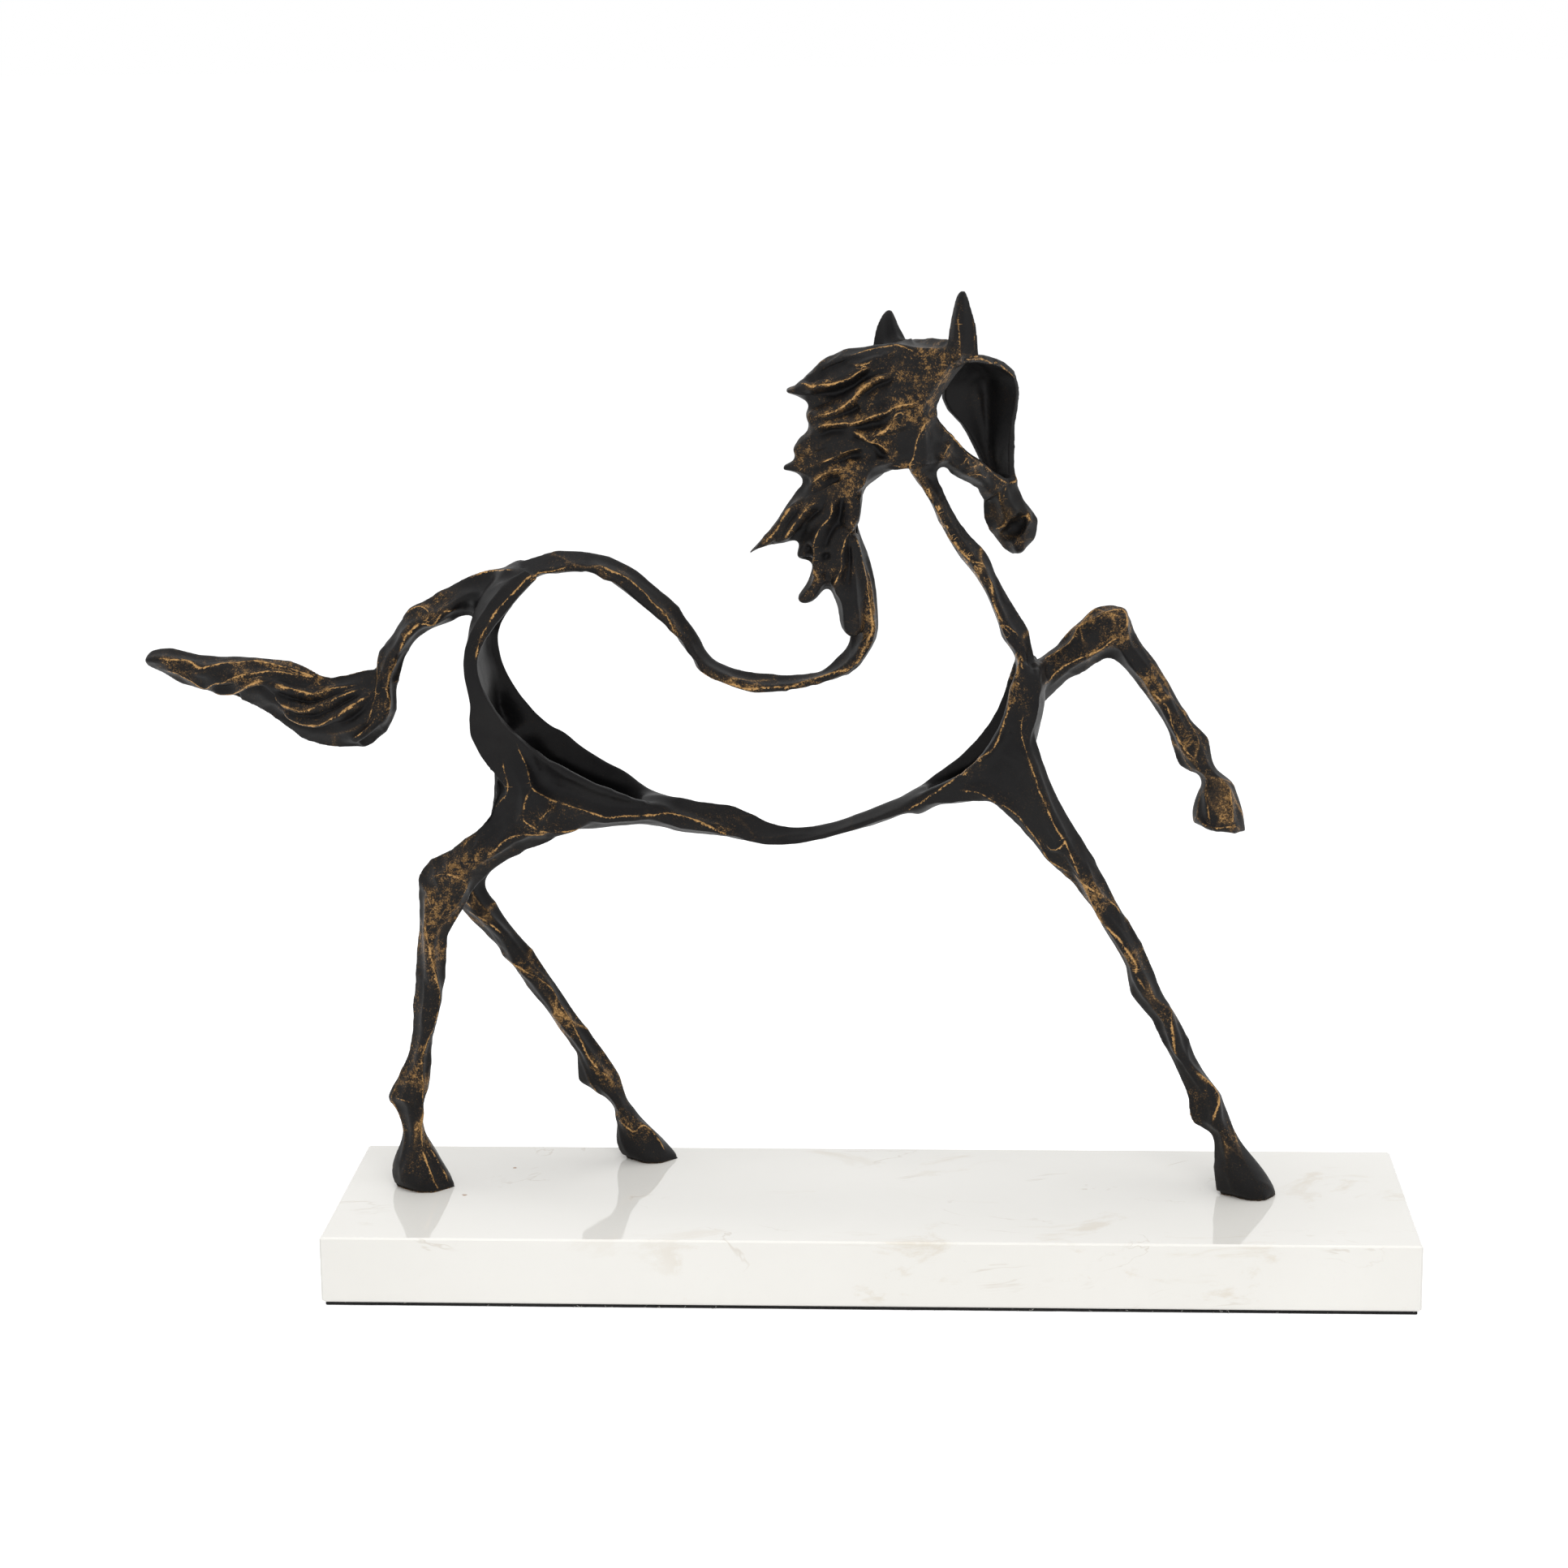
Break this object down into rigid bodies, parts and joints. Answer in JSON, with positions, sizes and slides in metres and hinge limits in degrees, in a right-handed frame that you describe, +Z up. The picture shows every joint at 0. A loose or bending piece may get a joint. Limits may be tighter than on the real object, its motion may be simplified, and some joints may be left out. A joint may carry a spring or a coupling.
{
  "type": "bronze horse statue",
  "caption": "Open-work bronze horse, prancing with its head turned away and one foreleg raised, bolted on a long white stone slab with a felt pad.",
  "frame": {"origin": "centre of the felt pad's underside", "axes": "+Z up from the table, +X along the slab toward the horse's head, +Y toward the side the head is turned to"},
  "size_m": [0.566, 0.127, 0.4368],
  "materials": {
    "bronze": "dark patina with gold rubbed on the ridges",
    "stone": "polished white with faint veins",
    "felt": "black felt",
    "steel": "zinc plated"
  },
  "bodies": {
    "root": {"haunch": "bronze", "chest": "bronze", "back_strap": "bronze", "neck_crest": "bronze", "belly_strap": "bronze", "breast_strap": "bronze", "tail": "bronze", "near_hind_leg": "bronze", "far_hind_leg": "bronze", "near_foreleg": "bronze", "far_foreleg": "bronze", "cheek": "bronze", "muzzle": "bronze", "jaw": "bronze", "face": "bronze", "near_ear": "bronze", "far_ear": "bronze", "mane": "bronze", "stone_base": "stone", "felt_pad": "felt", "near_hind_stud": "steel", "near_hind_washer": "steel", "near_hind_nut": "steel", "far_hind_stud": "steel", "far_hind_washer": "steel", "far_hind_nut": "steel", "near_fore_stud": "steel", "near_fore_washer": "steel", "near_fore_nut": "steel"}
  },
  "joints": []
}
